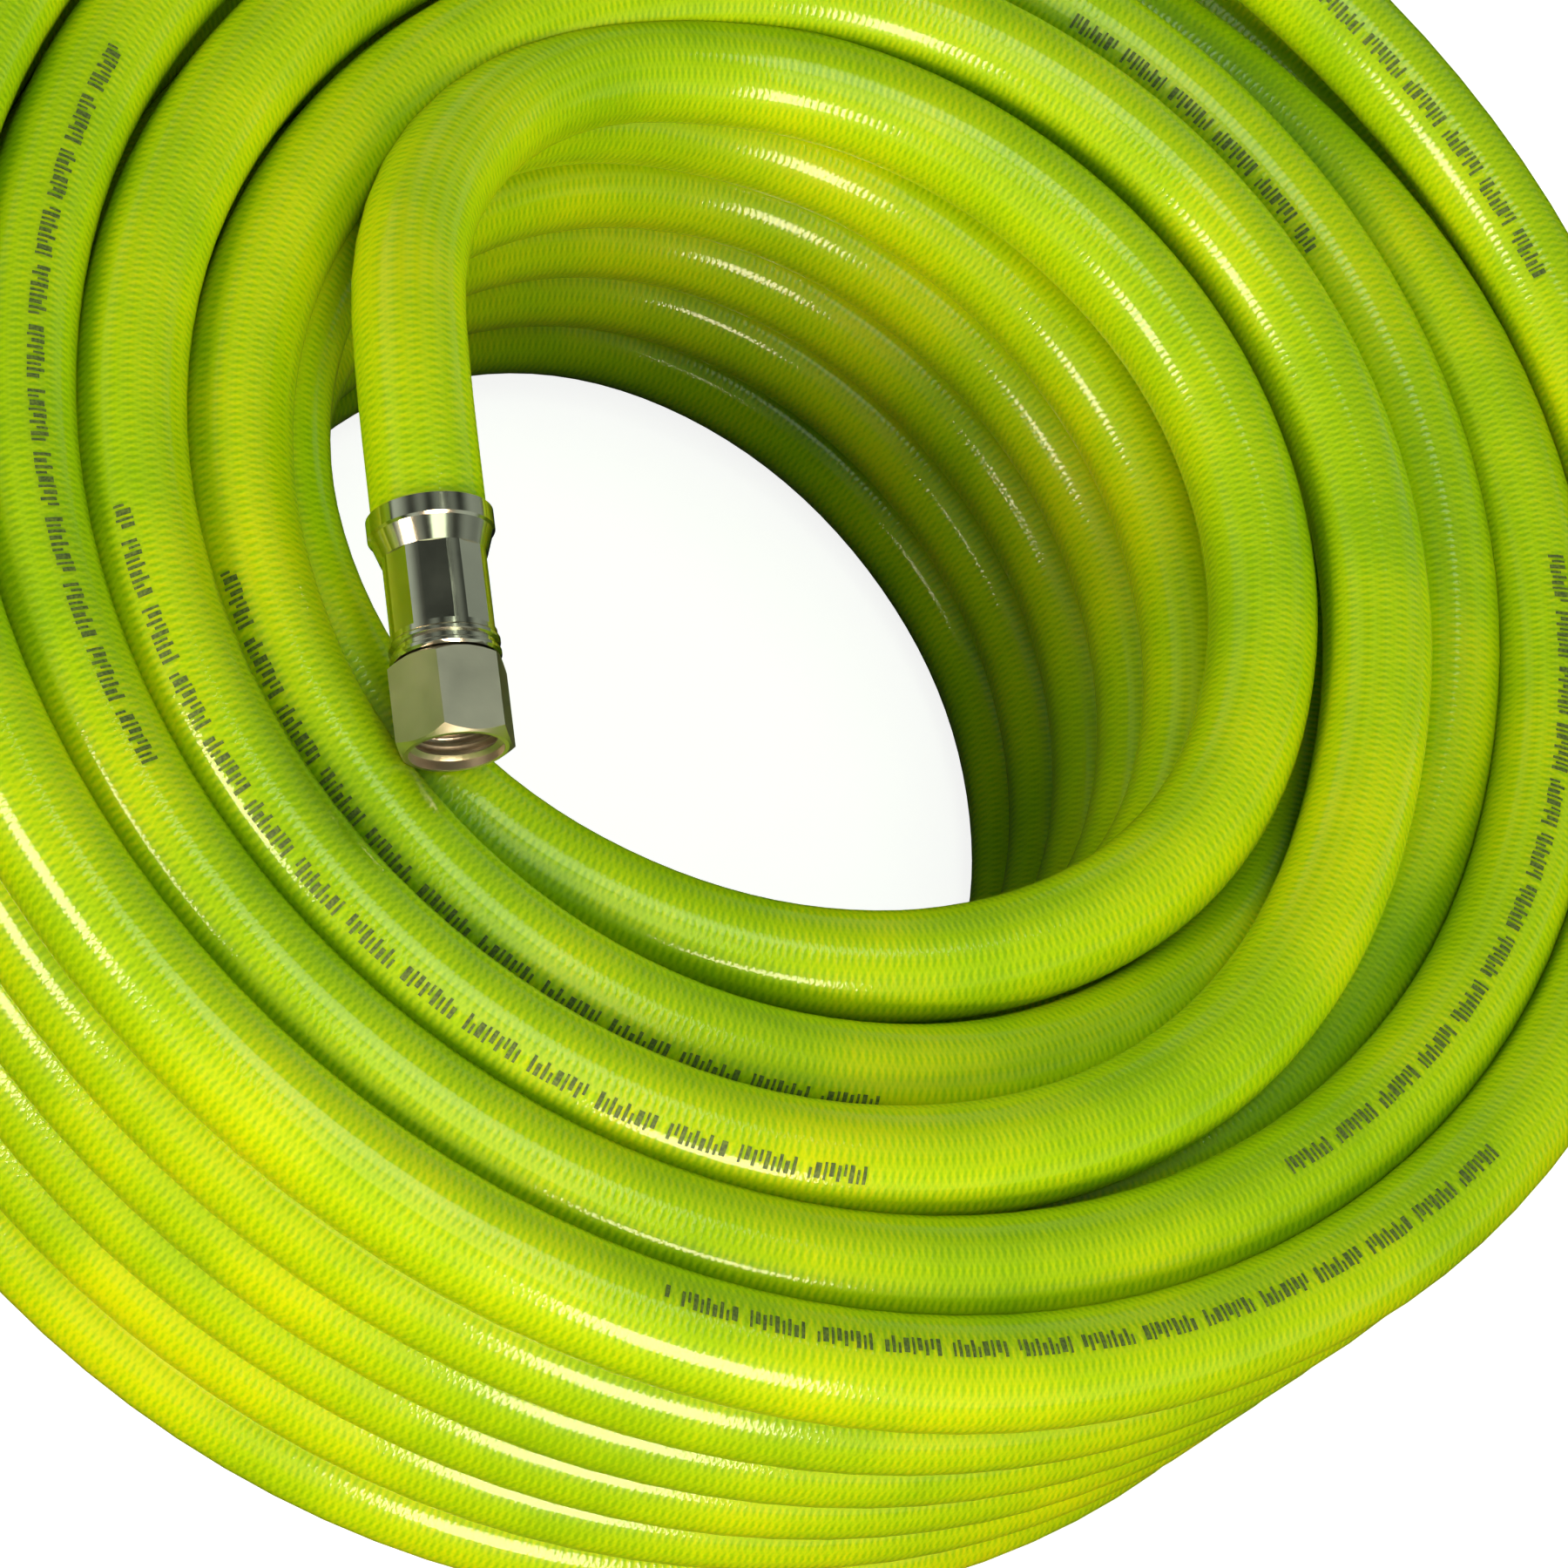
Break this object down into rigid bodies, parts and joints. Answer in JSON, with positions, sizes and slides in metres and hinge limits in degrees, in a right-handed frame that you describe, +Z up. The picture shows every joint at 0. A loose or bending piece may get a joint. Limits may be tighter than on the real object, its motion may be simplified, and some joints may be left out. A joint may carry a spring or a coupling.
{
  "type": "coiled air hose",
  "caption": "Reinforced plastic air hose wound into a flat-lying coil, with a crimped ferrule and a swivelling hexagonal union nut at each end.",
  "frame": {"origin": "under the middle of the coil, on the surface that it lies on", "axes": "+Z up along the coil's axis, from its lowest turns to its top face; the inner end's fitting points towards -Y and +X, across the coil's hole"},
  "size_m": [0.286, 0.286, 0.1107],
  "materials": {
    "hose_pvc": "gloss",
    "nickel_sleeve": "polished",
    "nickel_nut": "satin",
    "nickel_tail": "satin"
  },
  "bodies": {
    "hose": {"hose_coil": "hose_pvc", "hose_inner_end": "hose_pvc", "inner_ferrule": "nickel_sleeve", "inner_hose_tail": "nickel_tail", "inner_collar_ring": "nickel_sleeve", "hose_outer_end": "hose_pvc", "outer_ferrule": "nickel_sleeve", "outer_hose_tail": "nickel_tail", "outer_collar_ring": "nickel_sleeve"},
    "inner_nut": {"inner_union_nut": "nickel_nut"},
    "outer_nut": {"outer_union_nut": "nickel_nut"}
  },
  "joints": [
    {"name": "inner_nut_swivel", "type": "hinge", "parent": "hose", "child": "inner_nut", "pos_m": [-0.02222, -0.06991, 0.10075], "axis": [0.6841, -0.7278, -0.0485], "continuous": true},
    {"name": "outer_nut_swivel", "type": "hinge", "parent": "hose", "child": "outer_nut", "pos_m": [-0.11091, 0.11121, 0.01], "axis": [0.397, 0.9178, 0], "continuous": true}
  ]
}
